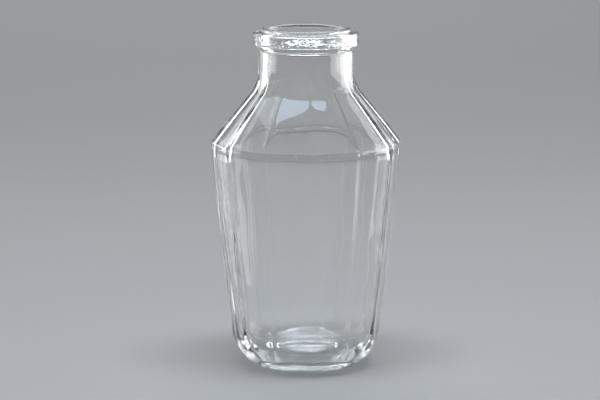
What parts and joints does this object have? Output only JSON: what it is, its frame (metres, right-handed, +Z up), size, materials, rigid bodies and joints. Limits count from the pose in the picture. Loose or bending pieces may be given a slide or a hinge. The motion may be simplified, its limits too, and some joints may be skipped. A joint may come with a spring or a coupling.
{
  "type": "glass milk bottle",
  "caption": "Open-mouthed clear glass milk bottle with a heavy collar, round neck, sloping faceted shoulder, tapering flat-sided body and rounded heel on a pushed-up base.",
  "frame": {"origin": "centre of the underside, on the plane that the bearing ring stands on", "axes": "+Z up along the bottle's axis and out of the mouth; corners of the flat-sided body lie on the X and Y axes"},
  "size_m": [0.0906, 0.0906, 0.162],
  "materials": {
    "clear_glass": "clear pressed and blown glass, smooth and slightly wavy, worn along the heel and the bearing ring"
  },
  "bodies": {
    "root": {"sealing_lip": "clear_glass", "collar": "clear_glass", "neck": "clear_glass", "shoulder": "clear_glass", "body": "clear_glass", "heel": "clear_glass", "bearing_ring": "clear_glass", "push_up_base": "clear_glass"}
  },
  "joints": []
}
